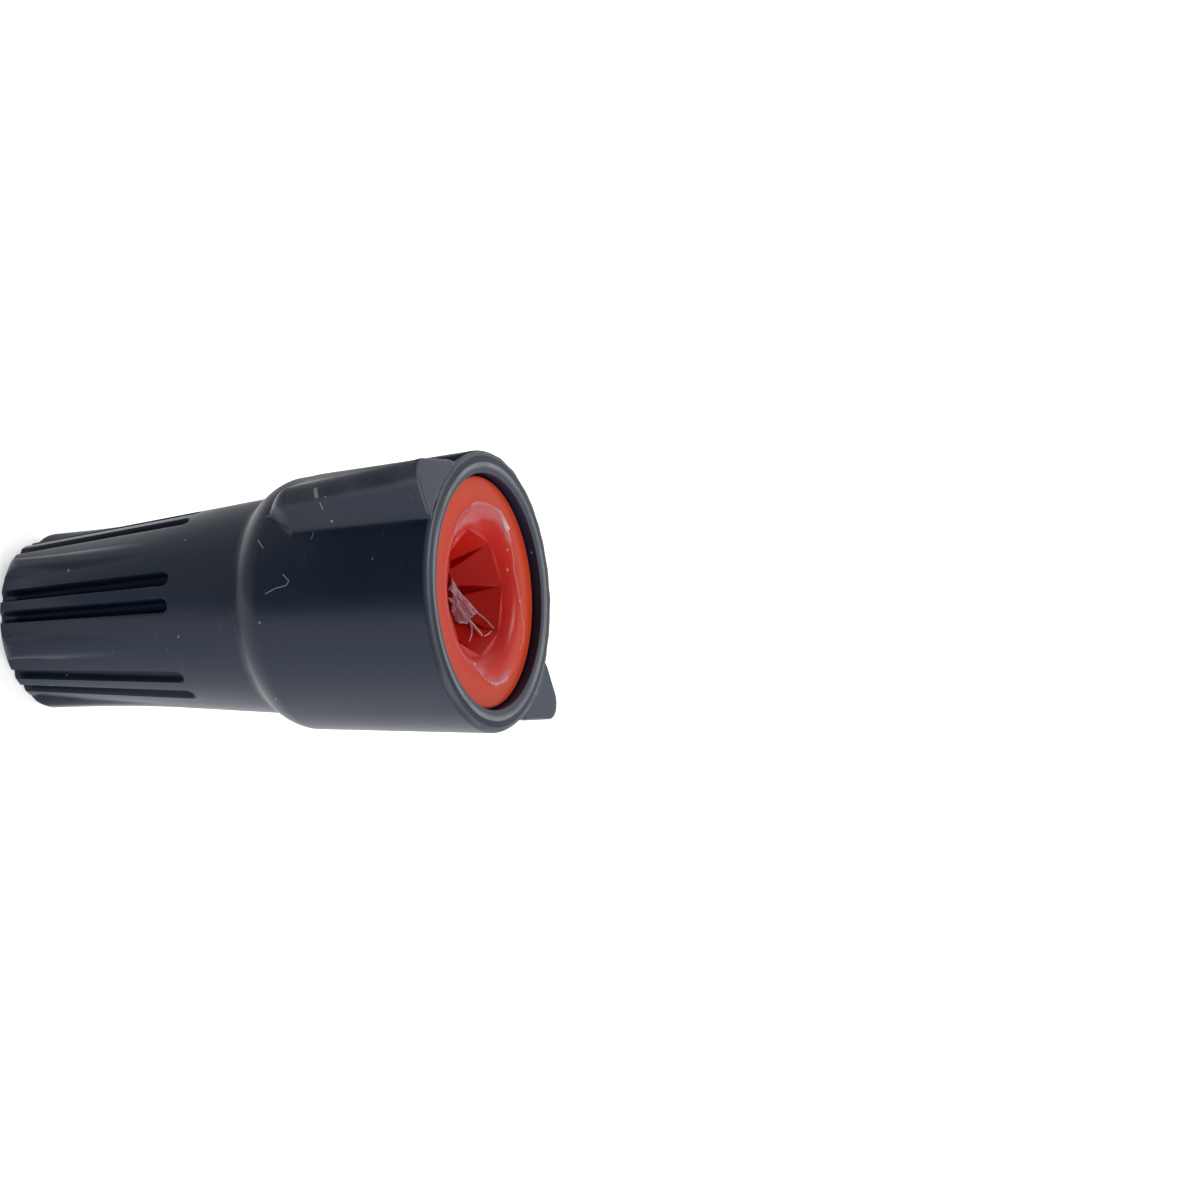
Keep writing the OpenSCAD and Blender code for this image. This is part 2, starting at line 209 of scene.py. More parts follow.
def ease(value, low, high):
    """Smooth ramp from 0 at low to 1 at high."""
    t = np.clip((value - low) / (high - low), 0, 1)
    return t * t * (3 - 2 * t)


def band(value, low, full, fall, high):
    """Smooth band: up from 0 at low to 1 at full, and down from fall to 0 at high."""
    return ease(value, low, full) * (1 - ease(value, fall, high))


def within(value, full, none):
    """1 up to full either side of 0, easing off to 0 at none."""
    return 1 - ease(np.abs(value), full, none)


def over(a, b, soft):
    """The larger of two radii, with a fillet where they cross."""
    mix = np.clip(0.5 + 0.5 * (a - b) / soft, 0, 1)
    return b + (a - b) * mix + soft * mix * (1 - mix)


def under(a, b, soft):
    """The smaller of two radii, with a rounding where they cross."""
    return -over(-a, -b, soft)


def wrapped(angle):
    """An angle brought between minus and plus half a turn."""
    return (angle + math.pi) % FULL_TURN - math.pi


class Rings:
    """Rows of a lathe grid, each a radius and a height for every step round the axis."""

    def __init__(self, angles):
        self.angles = angles
        self.radii = []
        self.heights = []

    def add(self, radius, height):
        """One row; a plain number holds all the way round."""
        self.radii.append(np.broadcast_to(radius, self.angles.shape))
        self.heights.append(np.broadcast_to(height, self.angles.shape))

    def line(self, start, end, rows):
        """Rows after start, up to and with end, on a straight line."""
        for part in np.linspace(0, 1, rows + 1)[1:]:
            self.add(start[0] + (end[0] - start[0]) * part, start[1] + (end[1] - start[1]) * part)

    def arc(self, centre, radius, start, end, rows):
        """Rows after the start angle, up to and with the end angle, on a round."""
        for a in np.linspace(start, end, rows + 1)[1:]:
            self.add(centre[0] + radius * math.cos(a), centre[1] + radius * math.sin(a))

    def spun(self, loop=False):
        """The rows as a bmesh: a flat grid wrapped round the axis, whose seams are merged at the end."""
        bm = bmesh.new()
        steps = len(self.angles)
        rows = len(self.radii) + loop
        bmesh.ops.create_grid(bm, x_segments=steps, y_segments=rows - 1, size=1)
        radius = np.array(self.radii)
        x = radius * np.cos(self.angles)
        y = radius * np.sin(self.angles)
        z = np.array(self.heights)
        for i, v in enumerate(bm.verts):
            row = i // (steps + 1) % len(self.radii)
            step = i % (steps + 1) % steps
            v.co = (x[row, step], y[row, step], z[row, step])
        return bm


def linked(name, data):
    """New object in the scene that shows some data."""
    made = bpy.data.objects.new(name, data)
    bpy.context.scene.collection.objects.link(made)
    return made


def placed(bm, name, material):
    """The mesh as an object in the scene, with its material."""
    mesh = bpy.data.meshes.new(name)
    bm.to_mesh(mesh)
    bm.free()
    mesh.materials.append(material)
    return linked(name, mesh)


def finished(bm, name, node, material):
    """Closes the mesh, points its faces outwards and puts the piece on the frame in the node's place."""
    bmesh.ops.remove_doubles(bm, verts=bm.verts, dist=MERGE_DIST)
    bmesh.ops.dissolve_degenerate(bm, edges=bm.edges, dist=SLIVER_DIST)
    bmesh.ops.recalc_face_normals(bm, faces=bm.faces)
    for edge in bm.edges:
        edge.smooth = edge.calc_face_angle(0) < SHARP_ANGLE
    for face in bm.faces:
        face.smooth = True
    piece = placed(bm, name, material)
    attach(piece, "root")
    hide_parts(node)
    return piece


class Wire:
    """A socket of a node tree that takes part in sums; without a socket, a place to start from."""

    def __init__(self, tree, socket=None):
        self.tree = tree
        self.socket = socket

    def node(self, kind, settings=None, inputs=None, out=0):
        """A new node of a kind, with its settings, then its sockets' values or links; gives an output."""
        node = self.tree.nodes.new(kind)
        for name, value in (settings or {}).items():
            setattr(node, name, value)
        for name, value in (inputs or {}).items():
            if isinstance(value, Wire):
                self.tree.links.new(value.socket, node.inputs[name])
            else:
                node.inputs[name].default_value = value
        return Wire(self.tree, node.outputs[out]) if node.outputs else None

    def math(self, operation, a, b, clamp=False):
        """A Math node on two values."""
        return self.node("ShaderNodeMath", {"operation": operation, "use_clamp": clamp}, {0: a, 1: b})

    def __add__(self, other):
        return self.math("ADD", self, other)

    __radd__ = __add__

    def __sub__(self, other):
        return self.math("SUBTRACT", self, other)

    def __rsub__(self, other):
        return self.math("SUBTRACT", other, self)

    def __mul__(self, other):
        return self.math("MULTIPLY", self, other)

    __rmul__ = __mul__

    def ramp(self, low, high):
        """Smooth ramp of this value, from 0 at low to 1 at high."""
        return self.node("ShaderNodeMapRange", {"interpolation_type": "SMOOTHSTEP"},
                         {"Value": self, "From Min": low, "From Max": high})

    def mixed(self, a, b):
        """Colour from a to b as this value goes from 0 to 1."""
        a, b = (c if isinstance(c, Wire) else (*c, 1) for c in (a, b))
        return self.node("ShaderNodeMix", {"data_type": "RGBA"}, {0: self, 6: a, 7: b}, out=2)


def new_material(name):
    """An empty node material and the wire that its nodes start from."""
    material = bpy.data.materials.new(name)
    material.use_nodes = True
    material.node_tree.nodes.clear()
    return material, Wire(material.node_tree)


def surfaced(material, start, shader):
    """The material with a shader joined to its output."""
    start.node("ShaderNodeOutputMaterial", inputs={"Surface": shader})
    return material


def clouds(place, scale, detail):
    """Soft noise from 0 to 1 at a place."""
    return place.node("ShaderNodeTexNoise", out="Fac",
                      inputs={"Vector": place, "Scale": scale, "Detail": detail})


def stored(start, name):
    """A number kept on the mesh's vertices."""
    return start.node("ShaderNodeAttribute", {"attribute_name": name}, out="Fac")


def grained(height, strength, depth):
    """Normal of a surface that a value roughens."""
    return height.node("ShaderNodeBump", out="Normal",
                       inputs={"Strength": strength, "Distance": depth, "Height": height})


def vectors(start, operation, a, b, out="Vector"):
    """A Vector Math node on two values."""
    return start.node("ShaderNodeVectorMath", {"operation": operation}, {0: a, 1: b}, out)


def background(start):
    """1 for rays that show the white surroundings: the camera's, and those in gloss and clear pieces."""
    camera, gloss, clear = (start.node("ShaderNodeLightPath", out=f"Is {kind} Ray")
                            for kind in ("Camera", "Glossy", "Transmission"))
    return start.math("MAXIMUM", camera, start.math("MAXIMUM", gloss, clear))


# Fine scratches, a hair and a fleck of dust on the shell: both ends in millimetres, and a width
MARKS = (
    ((-7.41, 4.19, 21.64), (-7.74, 3.63, 22.16), 0.05), ((-8.56, 0.57, 22.61), (-8.59, 0.87, 23.36), 0.05),
    ((-8.59, 0.87, 23.36), (-8.63, 1.02, 24.21), 0.05), ((-8.63, 1.02, 24.21), (-8.62, 1.3, 24.43), 0.05),
    ((-8.62, 1.3, 24.43), (-8.49, 1.76, 23.95), 0.05), ((-8.59, 7.15, 26.74), (-8.71, 6.73, 26.86), 0.2),
    ((-8.62, 6.26, 27.04), (-8.37, 5.87, 27.11), 0.06), ((-7.65, 4.37, 25.97), (-7.86, 3.98, 25.83), 0.04))


def streak(start, place, ends, width):
    """1 on a fine straight mark between two places and 0 away from it, with little heed to depth."""
    squeeze = Vector((0.25, 1, 1))
    a, b = (Vector(end) * squeeze * MM for end in ends)
    along = b - a
    off = vectors(start, "SUBTRACT", vectors(start, "MULTIPLY", place, squeeze), a)
    part = vectors(start, "DOT_PRODUCT", off, along / along.length_squared, "Value")
    held = start.math("ADD", part, 0, clamp=True)
    foot = start.node("ShaderNodeVectorMath", {"operation": "SCALE"}, {0: along, "Scale": held})
    apart = vectors(start, "DISTANCE", off, foot, "Value")
    return 1 - apart.ramp(0.4 * width * MM, width * MM)


def shell_plastic(s):
    """Dark satin plastic with a fine moulded grain, worn edges, scuffs, a few specks of dust, painted
    highlights mixed into its pale worn colour, and painted shade down in the flutes.
    """
    material, start = new_material("shell_plastic")
    place = start.node("ShaderNodeTexCoord", out="Object")
    grain = clouds(place, 5200, 3)
    cloud = clouds(place, 260, 4)
    drawn = clouds(start.node("ShaderNodeMapping", inputs={"Vector": place, "Scale": (900, 900, 5200)}), 1, 5)
    cells = start.node("ShaderNodeTexVoronoi", inputs={"Vector": place, "Scale": 830}, out="Distance")
    speck = (1 - cells.ramp(0.04, 0.11)) * clouds(place, 450, 1).ramp(0.57, 0.6)
    for *ends, width in MARKS:
        speck = start.math("MAXIMUM", speck, streak(start, place, ends, width))
    scuffs = drawn.ramp(0.62, 0.74) * cloud.ramp(0.5, 0.7) * 0.15
    # The pale mix takes real scuffs and the stored share, which holds both worn edges and painted highlights.
    worn_and_highlit = start.math("MAXIMUM", scuffs, stored(start, "wear_and_highlight") * (0.45 + 0.5 * cloud.ramp(0.3, 0.6)))
    surface = start.node("ShaderNodeBsdfPrincipled", inputs={
        "Base Color": speck.mixed(worn_and_highlit.mixed(s.colour, s.scuff_and_highlight), s.dust),
        "Roughness": 0.26 + 0.12 * cloud + 0.12 * worn_and_highlit,
        "Specular IOR Level": 0.34,
        "Normal": grained(grain, 0.12, 0.02 * MM),
    })
    # Painted shade: a dark matte diffuse mixed in down in the flutes and, fainter, on the rim's land.
    dull = start.node("ShaderNodeBsdfDiffuse", inputs={"Color": (*s.shade, 1)})
    both = start.node("ShaderNodeMixShader", inputs={0: stored(start, "recess") * 0.8, 1: surface, 2: dull})
    return surfaced(material, start, both)


def insert_plastic(s):
    """Glossy red plastic with a painted glow, a warmer red where light would pass the thin flange, and faint
    flow marks.
    """
    material, start = new_material("insert_plastic")
    place = start.node("ShaderNodeTexCoord", out="Object")
    cloud = clouds(place, 330, 3)
    # Painted glow: warmer red on the flange's outer part, standing in for light passing through the thin
    # plastic.
    glow_share = stored(start, "thin") * (0.6 + 0.6 * cloud)
    surface = start.node("ShaderNodeBsdfPrincipled", inputs={
        "Base Color": glow_share.mixed(s.colour, s.glow_red),
        "Roughness": 0.16 + 0.1 * cloud,
        "Specular IOR Level": 0.09,
        "Normal": grained(clouds(place, 2600, 3), 0.08, 0.03 * MM),
    })
    return surfaced(material, start, surface)


def spring_steel(s):
    """Bright plated wire with drawing marks."""
    material, start = new_material("spring_steel")
    place = start.node("ShaderNodeTexCoord", out="Object")
    marks = clouds(start.node("ShaderNodeMapping", inputs={"Vector": place, "Scale": (600, 600, 9000)}), 1, 4)
    dull = marks.ramp(0.35, 0.75)
    surface = start.node("ShaderNodeBsdfPrincipled", inputs={
        "Base Color": dull.mixed(s.colour, [c * 0.72 for c in s.colour]),
        "Metallic": 1.0,
        "Roughness": 0.24 + 0.2 * dull,
    })
    return surfaced(material, start, surface)


def sealant_gel(s):
    """Cured clear sealant, milky where it is thick."""
    material, start = new_material("sealant_gel")
    place = start.node("ShaderNodeTexCoord", out="Object")
    cloud = clouds(place, 900, 3)
    milky = stored(start, "depth") * (0.55 + 0.6 * cloud)
    pale = [0.6 + 0.4 * c for c in s.colour]
    surface = start.node("ShaderNodeBsdfPrincipled", inputs={
        "Base Color": milky.mixed(s.colour, pale),
        "Roughness": 0.1 + 0.1 * cloud,
        "Alpha": start.math("MULTIPLY", milky - 0.06, 0.9, clamp=True),
    })
    return surfaced(material, start, surface)


def marked(piece, name, values):
    """Stores one number for each vertex of a piece."""
    layer = piece.data.attributes.new(name, "FLOAT", "POINT")
    layer.data.foreach_set("value", np.asarray(values, np.float32))


def points(piece):
    """The piece's vertices as rows of x, y and z."""
    co = np.empty(len(piece.data.vertices) * 3)
    piece.data.vertices.foreach_get("co", co)
    return co.reshape(-1, 3)


class Levels:
    """Heights of the shell's features above its closed end."""

    def __init__(self, s):
        self.face = SHELL_TOP - s.wing_drop
        self.shoulder = SHELL_TOP - s.skirt_len
        self.heel = self.shoulder + s.heel_h
        self.grip = self.shoulder - s.shoulder_len
        self.flute = self.grip - s.flute_gap


def skirt_radius(s, height):
    """Radius of the plain skirt at a height."""
    return s.mouth_d / 2 - (SHELL_TOP - height) * math.tan(s.skirt_draft)


def grip_radius(s, height):
    """Radius of the grip at a height, without its ribs and flutes."""
    z = Levels(s)
    return skirt_radius(s, z.shoulder) - s.shoulder_step - (z.grip - height) * math.tan(s.grip_draft)


# Shares of a wing: how much its steep side widens up to the mouth, how much of its heel is there at the
# shoulder, and how fast its outline falls away past a root
STEEP_GROWTH = 0.15
LEAST_HEEL = 0.02
ROOT_FALL = 0.35


def wing_reach(s, angle, height):
    """Radius of the wings' outline at each angle and one height, small clear of them."""
    z = Levels(s)
    foot_r = skirt_radius(s, z.shoulder)
    deep_r = s.mouth_d / 2 - s.wing_root
    heel_reach = skirt_radius(s, z.heel) + s.heel_rise
    rise = (height - z.shoulder) / (z.face - z.shoulder)
    if height > z.heel:
        grown = begun = 1
        growth = s.mouth_d / 2 + s.wing_rise - heel_reach
        far = heel_reach + growth * (height - z.heel) / (z.face - z.heel)
    else:
        begun = max((height - z.shoulder) / s.heel_h, LEAST_HEEL)
        grown = math.sin(math.pi / 2 * begun)
        far = foot_r + (heel_reach - foot_r) * grown
    tip_r = s.wing_round * grown
    tip = far - tip_r
    root_r = foot_r + (deep_r - foot_r) * rise
    steep_a = s.wing_steep * begun * (1 + STEEP_GROWTH * rise ** 2)
    reach = np.zeros_like(angle)
    for half in (0, math.pi):
        a = wrapped(angle - s.wing_turn - half)
        middle = tip * np.cos(a)
        outline = middle + np.sqrt(np.maximum(middle ** 2 - tip ** 2 + tip_r ** 2, 0))
        for side, root_a in ((1, steep_a), (-1, -s.wing_flat)):
            x, y = root_r * math.cos(root_a), root_r * math.sin(root_a)
            run = math.hypot(tip - x, y)
            aim = math.atan2(-y, tip - x) + side * math.asin(min(tip_r / run, 1))
            touch = math.sqrt(max(run ** 2 - tip_r ** 2, 0))
            end = math.atan2(y + touch * math.sin(aim), x + touch * math.cos(aim))
            clear = root_r * math.sin(aim - root_a)
            lean = np.sin(aim - a)
            line = clear / np.where(np.abs(lean) < TINY, TINY, lean)
            past = side * (a - aim) - math.pi / 2
            line = np.where(past < 0, line, abs(clear) * (1 - ROOT_FALL * past))
            outline = np.where(side * (a - end) > 0, line, outline)
        reach = np.maximum(reach, outline)
    return reach


def shell_angles(s, steps):
    """Angles of the shell's steps, closer together on the wings' steep sides and on the flutes."""
    wing_extra, flute_extra = 4, 1.4
    steep, flute = s.wing_steep, 0.3 * s.flute_spread
    samples = 7200
    fine = np.linspace(0, FULL_TURN, samples, endpoint=False)
    density = np.ones_like(fine)
    for half in (0, math.pi):
        a = wrapped(fine - s.wing_turn - half)
        density += wing_extra * band(a, -0.9 * steep, -0.5 * steep, 1.3 * steep, 1.8 * steep)
    for i in range(s.rib_count):
        a = np.abs(wrapped(fine - s.rib_turn - (i + 0.5) * FULL_TURN / s.rib_count))
        density += flute_extra * within(a - s.flute_spread / 2, 0.7 * flute, flute)
    total = np.concatenate([[0], np.cumsum(density)])
    places = np.linspace(0, total[-1], steps, endpoint=False)
    return np.interp(places, total, np.append(fine, FULL_TURN))


# Angle either side of a rib or flute that it reaches, the steepness of their flanks, and the power that
# makes a flute's section a little fuller than round
NEAR_TURN = 0.5
RIB_FLANK = 4
FLUTE_FLANK = 5
FLUTE_POWER = 2.2


def rib_crown(s, angle, height):
    """Radius of a rib at angles from its middle, 0 clear of it."""
    crown = grip_radius(s, 0) + s.rib_rise + height * math.tan(s.rib_draft)
    past = np.clip(np.abs(crown * np.sin(angle)) - (s.rib_w / 2 - s.rib_round), 0, None)
    rounded = s.rib_round - np.sqrt(np.maximum(s.rib_round ** 2 - past ** 2, 0))
    flank = s.rib_round + RIB_FLANK * (past - s.rib_round)
    drop = np.where(past < s.rib_round, rounded, flank)
    return np.where(np.abs(angle) < NEAR_TURN, crown - drop, 0)


def flute_bowl(s, angle, height):
    """Height of a flute's bowl over the grip's wall at angles from its middle, below 0 inside the flute."""
    end_z = Levels(s).flute
    flute_r = s.flute_w / 2
    middle_r = grip_radius(s, 0.5 * end_z)
    side = np.hypot(middle_r * np.sin(angle), max(height - end_z, 0)) / flute_r
    bowl = -s.flute_depth * np.sqrt(np.maximum(1 - side ** FLUTE_POWER, 0))
    return np.where(side < 1, bowl, FLUTE_FLANK * flute_r * (side - 1))


def grip_wall(s, angle, height):
    """Outer radius of the grip with its ribs and flutes, and with the rounding round the closed end."""
    soft, slack = 0.2 * MM, 0.02 * MM
    core = grip_radius(s, height)
    wall = np.full_like(angle, core)
    for i in range(s.rib_count):
        a = wrapped(angle - s.rib_turn - i * FULL_TURN / s.rib_count)
        wall = over(rib_crown(s, a, height), wall, s.rib_fillet)
        for sign in (-1, 1):
            b = wrapped(a - (FULL_TURN / s.rib_count + sign * s.flute_spread) / 2)
            cut = under(wall, core + flute_bowl(s, b, height), soft)
            wall = np.where(np.abs(b) < NEAR_TURN, cut, wall)
    if height < s.end_round:
        end_r = grip_radius(s, 0) + s.rib_rise + slack - s.end_round
        wall = np.minimum(wall, end_r + math.sqrt(max(s.end_round ** 2 - (s.end_round - height) ** 2, 0)))
    return wall


def shell_wall(s, angle, height):
    """Outer radius of the shell: skirt with wings, shoulder, and grip with its ribs and flutes."""
    z = Levels(s)
    if height >= z.shoulder:
        least = 0.01 * MM
        fillet = s.wing_fillet * ease(height, z.shoulder, z.shoulder + 0.25 * s.heel_h) + least
        return over(wing_reach(s, angle, height), skirt_radius(s, height), fillet)
    if height >= z.grip:
        up = (height - z.grip) / s.shoulder_len
        swell = s.shoulder_step * math.sin(math.pi / 2 * up) ** s.shoulder_ease
        return np.full_like(angle, grip_radius(s, z.grip) + swell)
    return grip_wall(s, angle, height)


# Length below the mouth that has the rim's own rows, and the softened corner at the top of the recess
MOUTH_LEN = 1.2 * MM
RECESS_SOFT = 0.05 * MM


def add_outside(rings, s):
    """Rows from the closed end's centre up the grip, the shoulder and the skirt."""
    z = Levels(s)
    end_face = shell_wall(s, rings.angles, 0)
    for part in (0, 0.4, 0.75, 0.94):
        rings.add(end_face * part, 0)
    close = 0.6 * MM
    heel_end = z.shoulder + 1.1 * s.heel_h
    curl = s.end_round * (1 - np.cos(np.linspace(0, math.pi / 2, 13)))
    straight = np.linspace(s.end_round, z.flute - close, 16)[1:]
    blunt = np.linspace(z.flute - close, z.flute + close, 17)[1:]
    plain = np.linspace(z.flute + close, z.grip - 0.5 * MM, 5)[1:]
    crease = z.grip - np.array([0.35, 0.2, 0.06, 0]) * MM
    shoulder = z.grip + s.shoulder_len * np.linspace(0, 1, 16)[1:] ** 1.5
    heel = np.linspace(z.shoulder, heel_end, 39)[1:]
    skirt = np.linspace(heel_end, SHELL_TOP - MOUTH_LEN, 7)[1:]
    for height in np.concatenate([curl, straight, blunt, plain, crease, shoulder, heel, skirt]):
        rings.add(shell_wall(s, rings.angles, height), height)


def rim_centre(s):
    """Radius and height of the centre of the rounding round the rim's outer edge."""
    height = SHELL_TOP - s.rim_round
    return skirt_radius(s, height) - s.rim_round / math.cos(s.skirt_draft), height


def level_turn(s):
    """Angle on the rim's rounding that is level with the wings' end faces."""
    return math.asin((s.rim_round - s.wing_drop) / s.rim_round)


def add_wing_faces(rings, s):
    """Rows over the wings' end faces, which climb the rim's rounding between the wings."""
    face_z = Levels(s).face
    rim_r, rim_z = rim_centre(s)
    face_r = rim_r + s.rim_round * math.cos(level_turn(s))
    wall = shell_wall(s, rings.angles, face_z)
    proud = wall - skirt_radius(s, face_z)
    winged = ease(proud, 0.02 * MM, 0.5 * MM)
    edge = np.minimum(s.wing_edge, 0.45 * proud)

    def step(plain_r, plain_z, wing_r, wing_z):
        rings.add(plain_r + (wing_r - plain_r) * winged, plain_z + (wing_z - plain_z) * winged)

    start_z = SHELL_TOP - MOUTH_LEN
    start_wall = shell_wall(s, rings.angles, start_z)
    foot_z = rim_z - s.rim_round * math.sin(s.skirt_draft)
    for part in (0.4, 0.75, 1):
        plain_z = start_z + (foot_z - start_z) * part
        wing_z = start_z + (face_z - edge - start_z) * part
        step(skirt_radius(s, plain_z), plain_z, start_wall * (1 - part) + wall * part, wing_z)
    bend_rows, face_rows = 6, 6
    for row in range(1, bend_rows + face_rows + 1):
        a = -s.skirt_draft + (level_turn(s) + s.skirt_draft) * row / (bend_rows + face_rows)
        plain = rim_r + s.rim_round * math.cos(a), rim_z + s.rim_round * math.sin(a)
        if row <= bend_rows:
            b = math.pi / 2 * row / bend_rows
            step(*plain, wall - edge + edge * math.cos(b), face_z - edge + edge * math.sin(b))
        else:
            part = (row - bend_rows) / face_rows
            step(*plain, wall - edge + (face_r - wall + edge) * part, face_z)


def add_rim(rings, s):
    """Rows over the rim: the rest of its rounding with the flash, its land, the fine crest and the bevel."""
    rim_r, rim_z = rim_centre(s)
    recess_r = s.mouth_d / 2 - s.rim_w
    crest_r = recess_r + s.bevel_w
    land_z = SHELL_TOP - s.land_drop
    flash_scale, flash_turn, flash_spread = 9, 0.85, 0.16
    around = np.stack([np.cos(rings.angles), np.sin(rings.angles), 0 * rings.angles], -1)
    flash = s.flash_h * np.clip(0.35 + ragged(around, flash_scale), 0, 1)
    for a in np.linspace(level_turn(s), math.pi / 2, 9)[1:]:
        raised = s.rim_round + flash * np.exp(-((a - flash_turn) / flash_spread) ** 2)
        drop = s.land_drop * ease(a, 0.6, 1.4)
        rings.add(rim_r + raised * math.cos(a), rim_z - drop + raised * math.sin(a))
    rings.add(crest_r + 0.75 * s.crest_w, land_z)
    for a in np.linspace(0.85, 0.15, 8) * math.pi:
        rings.add(crest_r - s.crest_w / 2 * math.cos(a), land_z + s.land_drop * math.sin(a) ** 0.7)
    bevel_start = crest_r - 0.75 * s.crest_w, land_z - 0.2 * s.bevel_h
    rings.line(bevel_start, (recess_r + RECESS_SOFT, SHELL_TOP - s.bevel_h), 3)


def add_hollow(rings, s, insert):
    """Rows down the flange's recess, the barrel's socket and the spring's chamber to the end wall."""
    recess_r = s.mouth_d / 2 - s.rim_w
    recess_z = SHELL_TOP - s.bevel_h - RECESS_SOFT
    seat_z = INSERT_TOP - insert.flange_thick
    socket_z = INSERT_FOOT - insert.fit_gap
    barrel_r = insert.flange_r - insert.flange_lip + insert.fit_gap
    barrel_end_r = barrel_r - (seat_z - INSERT_FOOT) * math.tan(insert.draft)
    rings.add(recess_r, recess_z)
    rings.line((recess_r, recess_z), (recess_r, seat_z), 3)
    for radius, height in ((barrel_r, seat_z), (barrel_end_r, socket_z), (insert.chamber_r, socket_z),
                           (s.chamber_end_r, s.chamber_z), (s.tip_r, s.chamber_z), (s.tip_r, s.end_wall),
                           (0, s.end_wall)):
        rings.add(radius, height)


def shell_rings(s, insert, steps):
    """Rows of the shell from the closed end's centre, up the outside, over the rim and down the hollow."""
    rings = Rings(shell_angles(s, steps))
    add_outside(rings, s)
    add_wing_faces(rings, s)
    add_rim(rings, s)
    add_hollow(rings, s, insert)
    return rings


# Amounts of pale colour: worn wing tips with painted sheen, worn end faces, a painted highlight on the heels,
# and worn edges with painted highlights on the rim's outer edge and its crest
TIP_WEAR_AND_SHEEN, END_WEAR, HEEL_HIGHLIGHT, EDGE_WEAR_AND_HIGHLIGHT, CREST_WEAR_AND_HIGHLIGHT = 0.18, 0.37, 0.35, 0.18, 0.75


def shell_wear_and_highlight(s, co):
    """Share of pale colour at each vertex: worn edges and painted sheen on the wings, a painted highlight
    along the shoulder's crease and on the heels, and worn edges with painted highlights on the rim.
    """
    z = Levels(s)
    height = co[:, 2]
    radius = np.hypot(co[:, 0], co[:, 1])
    rise = np.clip((height - z.heel) / (z.face - z.heel), 0, 1)
    proud = (radius - skirt_radius(s, height)) / (s.heel_rise + (s.wing_rise - s.heel_rise) * rise)
    below = height < z.face - 0.05 * s.wing_edge
    tips = ease(proud, 0.7, 0.9) * ease(height, z.shoulder + 0.5 * s.heel_h, z.heel) * below
    up = height - (z.face - 0.4 * s.wing_edge)
    ends = within(up, 0.2 * s.wing_edge, 0.5 * s.wing_edge) * (proud > 0.1) * below
    heel = band(proud, 0.05, 0.25, 0.6, 0.95) * (1 - ease(height, z.heel - MM, z.heel)) * below
    outside = radius > s.mouth_d / 2 - 3 * MM
    sideways = np.abs(co[:, 1]) / radius.clip(MM)
    # Painted highlight along the shoulder's crease, strongest where the crease faces sideways.
    crease = band(height - z.grip, -0.45 * MM, 0.1 * MM, 0.2 * MM, MM) * outside
    crease = crease * np.clip(1.4 * sideways ** 2, 0.04, 1)
    edge = within(height - SHELL_TOP + 0.13 * MM, 0.03 * MM, 0.12 * MM)
    outer = np.abs(radius - s.mouth_d / 2 + 0.2 * MM) < 0.2 * MM
    sides = [TIP_WEAR_AND_SHEEN * tips, END_WEAR * ends, crease, HEEL_HIGHLIGHT * heel, EDGE_WEAR_AND_HIGHLIGHT * edge * outer]
    from_crest = radius - (s.mouth_d / 2 - s.rim_w + s.bevel_w)
    crest = CREST_WEAR_AND_HIGHLIGHT * within(from_crest, 0.4 * s.crest_w, 0.7 * s.crest_w)
    return np.where(height > SHELL_TOP - s.land_drop, crest, np.max(sides, axis=0))


def shell_painted_shade(s, co):
    """Share of painted shade at each vertex: duller, darker plastic down in the flutes, fading towards minus
    y, and, fainter, on the rim's land.
    """
    height = co[:, 2]
    radius = np.hypot(co[:, 0], co[:, 1])
    core = grip_radius(s, height)
    sunk = ease(core - radius, 0.05 * MM, 0.25 * MM) * ease(height, 0.5 * s.end_round, s.end_round)
    on_grip = (radius > 0.75 * core) * (height < Levels(s).grip)
    # The painted shade in the flutes fades to a fifth towards minus y.
    shade_by_side = 0.2 + 0.8 * ease(co[:, 1], -3.5 * MM, -MM)
    land = (np.abs(radius - s.mouth_d / 2 + 0.62 * MM) < 0.22 * MM) * (height > SHELL_TOP - 0.1 * MM)
    return np.maximum(sunk * on_grip * shade_by_side, 0.4 * land)


